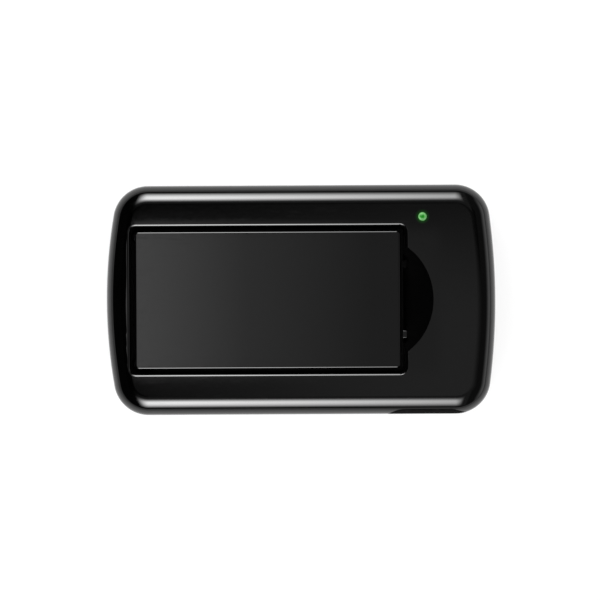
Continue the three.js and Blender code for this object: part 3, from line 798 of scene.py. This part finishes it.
def hatch():
    plate = rounded(
        "plate", round_rect(*HATCH_X, HATCH_Y, HATCH_R), THICK - HATCH_THICK, THICK, 0, HATCH_EDGE, 10
    )
    inner = round_rect(SKIRT_X + SKIRT_WALL, HATCH_X[1] - SKIRT_WALL, HATCH_Y - SKIRT_WALL, 0.5)
    skirt = rounded("skirt", round_rect(SKIRT_X, HATCH_X[1], HATCH_Y, HATCH_R), SKIRT_Z, SKIRT_TOP)
    cut(skirt, rounded("hollow", inner, 20, 40))
    flange = rounded(
        "flange", round_rect(SKIRT_X, FLANGE_X, FLANGE_Y, HATCH_R), *FLANGE_Z, 0.2, 0.2, 3
    )
    cut(flange, rounded("hollow", inner, 20, 40))
    pieces = [skirt, flange]
    for side in (-1, 1):
        y0, y1 = sorted((side * KNUCKLE_Y[0], side * KNUCKLE_Y[1]))
        pieces.append(block(HINGE_X - KNUCKLE_R, HINGE_X + KNUCKLE_R, y0, y1, HINGE_Z, SKIRT_TOP))
        pieces.append(rod_y(HINGE_X, HINGE_Z, y0, y1, KNUCKLE_R))
        y = side * SNAP_Y
        nose = block(*SNAP_X, y - SNAP_HALF, y + SNAP_HALF, SKIRT_Z, FLANGE_Z[1])
        pieces.append(soften(nose, 0.45, 4))
        y0, y1 = sorted(side * y for y in STIFFENER_Y)
        for k in range(STIFFENERS):
            x = STIFFENER_X + STIFFENER_PITCH * k
            pieces.append(block(x, x + 1.0, y0, y1, SKIRT_Z, SKIRT_TOP))
    join(plate, *pieces)
    cut(plate, rod_y(HINGE_X, HINGE_Z, -17, 17, HINGE_BORE))
    # Painted shade underneath: the underside and the +Y snap nose get the black that barely reflects, so of
    # the two like noses only the -Y one stays glossy and catches the light.
    for face in plate.data.polygons:
        x, y, z = face.center
        underside = z < THICK - HATCH_THICK + 0.1
        face.material_index = int(underside and (x < FLANGE_X + 0.01 or y > 0))
    return plate


def add_hatch():
    piece(hatch(), "hatch_lid", "hatch", "hatch", [HATCH_BLACK, PAINTED_SHADE_BLACK], "battery_hatch")
    pad = rounded("pad", round_rect(*PAD_X, PAD_Y, PAD_R), *PAD_Z, 0.5, 0.2, 5)
    piece(pad, "foam_pad", "hatch", "foam", [FOAM], "hatch_foam_pad")
    place = Matrix.Translation((HINGE_X, 0, HINGE_Z)) @ ALONG_Y
    half = HINGE_PIN_HALF
    profile = [
        (0, -half), (HINGE_PIN_R - 0.25, -half), (HINGE_PIN_R, 0.25 - half),
        (HINGE_PIN_R, half - 0.25), (HINGE_PIN_R - 0.25, half), (0, half),
    ]
    piece(spin("pin", profile, place, 32), "hinge_rod", "root", "steel", [STEEL], "hinge_pin")


# ---- power ----

def cell_x(i):
    return BAY_X[0] + (i + 0.5) * CELL_PITCH


def rounded_corner(r, h, radius, start, steps=5):
    """Profile points of a round corner whose centre is at (r, h)."""
    turns = [start + math.pi / 2 * k / steps for k in range(steps + 1)]
    return [(r + radius * math.cos(t), h + radius * math.sin(t)) for t in turns]


def battery_cell(i):
    """An AA cell: a dished steel base, a printed sleeve with a plain band, and a raised terminal."""
    half, r = CELL_HALF, CELL_R
    metal, sleeve, copper, seal = 0, 1, 2, 3
    shoulder = half - 1.0
    profile, looks = [], []

    def run(points, look):
        for point in points:
            if profile:
                looks.append(look)
            profile.append(point)

    run([(0, 0.3 - half), (4.4, 0.3 - half), (4.8, -half), (5.8, -half)], metal)
    run([(6.1, 0.1 - half), (6.2, 0.3 - half)], metal)
    run(rounded_corner(r - 0.55, 0.6 - half, 0.55, -math.pi / 2), sleeve)
    run([(r, 11.0)], sleeve)
    run([(r, 22.0)], copper)
    run(rounded_corner(r - 0.6, shoulder - 0.6, 0.6, 0), copper)
    run([(5.6, shoulder - 0.05), (5.4, shoulder - 0.35), (3.4, shoulder - 0.35)], seal)
    run([(3.1, shoulder - 0.1), (2.75, shoulder), (2.7, half - 0.35)], metal)
    run(rounded_corner(2.35, half - 0.35, 0.35, 0, 4) + [(0, half)], metal)
    turned = math.pi if i % 2 else 0.0
    place = Matrix.Translation((cell_x(i), 0, CELL_Z)) @ Matrix.Rotation(turned, 4, "X") @ ALONG_Y
    return spin("cell", profile, place, 64, looks)


def conical_spring(x, side):
    """A compressed conical spring from the contact plate to the cell's flat end."""
    turns, steps = 3.25, 110
    wide, narrow, wire = 5.1, 3.2, 0.34
    start, end = CONTACT_Y[0] - wire, CELL_HALF + wire + 0.05
    points = []
    for k in range(steps + 1):
        share = k / steps
        angle = 2 * math.pi * turns * share
        r = wide + (narrow - wide) * share
        y = side * (start + (end - start) * share)
        points.append(Vector((x + r * math.cos(angle), y, CELL_Z + r * math.sin(angle))))
    return sweep("spring", points, wire)


def contact_dimple(x, side):
    """A pressed dome that meets the cell's raised terminal."""
    height = CONTACT_Y[0] - CELL_HALF - 0.05
    profile = [
        (0, 0), (3.9, 0), (3.5, 0.35), (2.9, height - 0.5), (2.4, height - 0.08), (1.8, height), (0, height),
    ]
    turn = Matrix.Rotation(math.pi / 2 * side, 4, "X")
    place = Matrix.Translation((x, side * CONTACT_Y[0], CELL_Z)) @ turn
    return spin("dimple", profile, place, 40)


def contact(cells, side):
    x0, x1 = cell_x(cells[0]) - CONTACT_HALF, cell_x(cells[-1]) + CONTACT_HALF
    middle, half_z = (CONTACT_Z[0] + CONTACT_Z[1]) / 2, (CONTACT_Z[1] - CONTACT_Z[0]) / 2
    outline = round_rect(x0, x1, half_z, 1.5)(0)
    y0, y1 = sorted((side * CONTACT_Y[0], side * CONTACT_Y[1]))
    plate = loft("plate", [[(x, y, middle + z) for x, z in outline] for y in (y1, y0)])
    if len(cells) == 1:
        x = cell_x(cells[0])
        join(plate, block(x - TAIL_HALF, x + TAIL_HALF, y0, y1, TAIL_Z, CONTACT_Z[0] + 1))
    negatives = [i for i in cells if (i % 2 == 0) == (side < 0)]
    domes = [contact_dimple(cell_x(i), side) for i in cells if i not in negatives]
    if domes:
        join(plate, *domes)
    return plate, [conical_spring(cell_x(i), side) for i in negatives]


def add_power():
    looks = [STEEL, SLEEVE_BLUE, SLEEVE_BAND, EPOXY]
    for i in range(CELLS):
        piece(battery_cell(i), f"cell_{i + 1}", "root", "cell", looks, f"battery_cell_{i + 1}")
    runs = [(f"contact_bridge_{i + 1}", [i, i + 1], -1 if i % 2 else 1) for i in range(CELLS - 1)]
    runs += [("contact_negative_end", [0], -1), ("contact_positive_end", [CELLS - 1], -1)]
    for name, cells, side in runs:
        plate, springs = contact(cells, side)
        piece(plate, name + "_plate", "root", "contact", [NICKEL], name)
        for spring in springs:
            piece(spring, name + "_spring", "root", "contact", [NICKEL], name)


# ---- button, light, window, screws ----

def add_button():
    cap = keep(oval_y(0, -60, BUTTON_BACK), slab())
    soften(cap, 0.3, 3, 50)
    wing = block(*WING_X, *RETAINER_Y, *WING_Z)
    foot = block(BUTTON_X - FOOT_HALF, BUTTON_X + FOOT_HALF, *RETAINER_Y, *FOOT_Z)
    rib = block(BUTTON_X - RIB_HALF, BUTTON_X + RIB_HALF, *RIB_Y, *RIB_Z)
    join(cap, wing, foot, rib)
    piece(cap, "button_cap", "scan_button", "button", [BUTTON_RUBBER], "scan_button")


def add_light():
    dome = rounded_corner(0, LED_DOME, LED_R, 0, 10)[:-1] + [(0, LED_DOME + LED_R)]
    flange = [(LED_FLANGE_R, LED_BASE), (LED_FLANGE_R, LED_BASE + 1), (LED_R, LED_BASE + 1)]
    profile = [(0, LED_BASE)] + flange + dome
    lens = spin("lens", profile, Matrix.Translation((LED_X, LED_Y, 0)), 48)
    piece(lens, "status_lens", "root", "lamp", [STATUS_LENS], "status_led")


def add_window():
    outline = round_rect(DISPLAY_X - WINDOW_X, DISPLAY_X + WINDOW_X, WINDOW_Y, WINDOW_R)
    lens = rounded("lens", outline, *WINDOW_Z, 0.25, 0, 5)
    piece(lens, "window_lens", "root", "window", [WINDOW], "display_window")


def add_screws():
    """Pan-head screws with a cross recess."""
    seat, top = SCREW_SEAT + 0.02, SCREW_SEAT + SCREW_HEAD
    point = [(0, SCREW_TIP), (SCREW_SHANK / 2, SCREW_TIP), (SCREW_SHANK, SCREW_TIP + 1)]
    head = rounded_corner(SCREW_HEAD_R - 0.9, top - 0.9, 0.9, 0, 6)
    profile = point + [(SCREW_SHANK, seat), (SCREW_HEAD_R, seat)] + head + [(0, top)]
    for i, (x, y) in enumerate(SCREWS):
        screw = spin("screw", profile, Matrix.Translation((x, y, 0)), 40)
        depth = SCREW_SEAT + 0.8
        cut(
            screw,
            block(x - 1.4, x + 1.4, y - SCREW_CROSS, y + SCREW_CROSS, depth, depth + 3),
            block(x - SCREW_CROSS, x + SCREW_CROSS, y - 1.4, y + 1.4, depth, depth + 3),
        )
        # The heads get the darkened steel, a painted shade in place of their zinc plating.
        piece(screw, f"case_screw_{i + 1}", "root", "steel", [SHADE_DARKENED_STEEL], f"housing_screw_{i + 1}")


# ---- studio ----

def add_floor():
    """A pale floor that glows a little, so that only a faint contact shadow shows. Its glow is a painted
    pool of light, strongest near the scanner.
    """
    size = 8.0
    corners = [(-size, -size, 0), (size, -size, 0), (size, size, 0), (-size, size, 0)]
    floor = make_object("floor", corners, [(0, 1, 2, 3)])
    floor.location.z = -0.0002
    floor.data.materials.append(
        surface("floor_paper", (0.1, 0.1, 0.1), (0.105, 0.105, 0.105), (0.85, 0.95), 300.0, 1.0e-5,
                Emission_Color=(1, 1, 1, 1), Emission_Strength=0.9, Specular_IOR_Level=0.1)
    )
    tree = floor.data.materials[0].node_tree
    place = coordinates(tree)
    away = calc(tree, "MAXIMUM", *[calc(tree, "ABSOLUTE", place[axis]) for axis in "XY"])
    # Painted light: the glow halves from 12 cm to 30 cm out, a pool of light round the scanner.
    painted_light_pool = ramp(tree, away, 0.12, 0.3, 0.9, 0.45, True)
    tree.links.new(painted_light_pool, tree.nodes["Principled BSDF"].inputs["Emission Strength"])


def add_panel(name, half_x, half_y, location, tilt, radiance, shade, only_mirrored=True):
    """A glowing panel that faces down, or the scanner when tilted. shade builds its brightness from
    the panel's own x and y."""
    corners = [(-half_x, -half_y, 0), (half_x, -half_y, 0), (half_x, half_y, 0), (-half_x, half_y, 0)]
    panel = make_object(name, corners, [(3, 2, 1, 0)])
    panel.location = location
    panel.rotation_euler = (tilt, 0, 0)
    material = bpy.data.materials.new(name + "_glow")
    material.use_nodes = True
    tree = material.node_tree
    tree.nodes.clear()
    place = coordinates(tree)
    strength = calc(tree, "MULTIPLY", shade(tree, place["X"], place["Y"]), radiance)
    glow = node(tree, "ShaderNodeEmission", {"Color": (1, 1, 1, 1), "Strength": strength})
    out = node(tree, "ShaderNodeOutputMaterial")
    tree.links.new(glow.outputs[0], out.inputs["Surface"])
    panel.data.materials.append(material)
    panel.visible_camera = False
    panel.visible_shadow = False
    panel.visible_diffuse = not only_mirrored
    return panel


def add_lights():
    """Two long soft panels over the long edges, and two dim ones overhead that the faces mirror."""
    half_width, inner_width, distance, tilt = 0.3, 0.24, 0.45, math.radians(46)

    def long_panel(tree, x, y):
        outward = ramp(tree, y, 0.0, half_width, 1.0, 0.0, True)
        inward = ramp(tree, y, -inner_width, 0.0, 0.0, 1.0, True)
        rise = ramp(tree, x, -0.24, -0.05, 0.0, 1.0, True)
        fall = ramp(tree, x, -0.05, 0.165, 1.0, 0.0)
        bright = product_of(tree, outward, inward, inward, fall)
        return product_of(tree, calc(tree, "ADD", bright, 0.009), rise)

    for name, side in (("panel_back", 1), ("panel_front", -1)):
        spot = (0, side * distance * math.sin(tilt), THICK * MM + distance * math.cos(tilt))
        panel = add_panel(name, 0.25, half_width, spot, -side * tilt, 20.0, long_panel, False)
        panel.scale.y = side

    def over_hatch(tree, x, y):
        left = ramp(tree, x, -0.0715, -0.0155, 1.0, 0.4)
        right = ramp(tree, x, -0.0155, 0.0345, 1.0, 0.5)
        return product_of(tree, left, right)

    add_panel("panel_hatch", 0.0615, 0.0285, (-0.0065, 0, 0.25), 0, 1.55, over_hatch)

    def overhead(tree, x, y):
        deep = ramp(tree, y, 0.0, 0.035, 1.0, 0.55)
        deeper = ramp(tree, y, 0.033, 0.046, 1.0, 0.4)
        rise = ramp(tree, x, -0.07, 0.06, 0.3, 1.0, True)
        edge = ramp(tree, x, -0.078, -0.068, 0.0, 1.0)
        fall = ramp(tree, x, 0.1, 0.5, 1.0, 0.35)
        return product_of(tree, deep, deeper, rise, edge, fall)

    add_panel("panel_overhead", 0.6, 0.3, (0, 0, 0.9), 0, 0.36, overhead)


def add_world():
    """Dark overhead and pale at the horizon all round, with a faint glow low down towards +X."""
    world = bpy.data.worlds.new("studio")
    bpy.context.scene.world = world
    world.use_nodes = True
    tree = world.node_tree
    background = tree.nodes["Background"]
    background.inputs["Color"].default_value = (1, 1, 1, 1)
    direction = coordinates(tree, "Generated")
    horizon = ramp(tree, direction["Z"], 0.03, 0.1, 0.8, 0.01)
    end = ramp(tree, direction["X"], 0.12, 0.4, 0.01, 0.08, True)
    towards_end = ramp(tree, direction["X"], 0.6, 0.9, 0.0, 1.0)
    low = ramp(tree, direction["Z"], 0.08, 0.5, 1.2, 0.08, True)
    low_end = product_of(tree, towards_end, low)
    level = calc(tree, "MAXIMUM", calc(tree, "MAXIMUM", horizon, end), low_end)
    tree.links.new(level, background.inputs["Strength"])


def add_camera():
    """Straight down on the hatch side, with a long lens, turned a little as the photograph is."""
    lens, sensor, view_width = 1000.0, 36.0, 0.2313
    data = bpy.data.cameras.new("camera")
    data.lens = lens
    data.sensor_width = sensor
    camera = bpy.data.objects.new("camera", data)
    bpy.context.scene.collection.objects.link(camera)
    camera.location = (-0.00042, -0.00008, THICK * MM + view_width * lens / sensor)
    camera.rotation_euler = (0, 0, math.radians(-0.295))
    bpy.context.scene.camera = camera


bpy.context.scene.view_settings.view_transform = "Standard"
add_camera()
add_world()
add_floor()
add_lights()
dress_cad_nodes()
add_housings()
add_hatch()
add_power()
add_button()
add_light()
add_window()
add_screws()
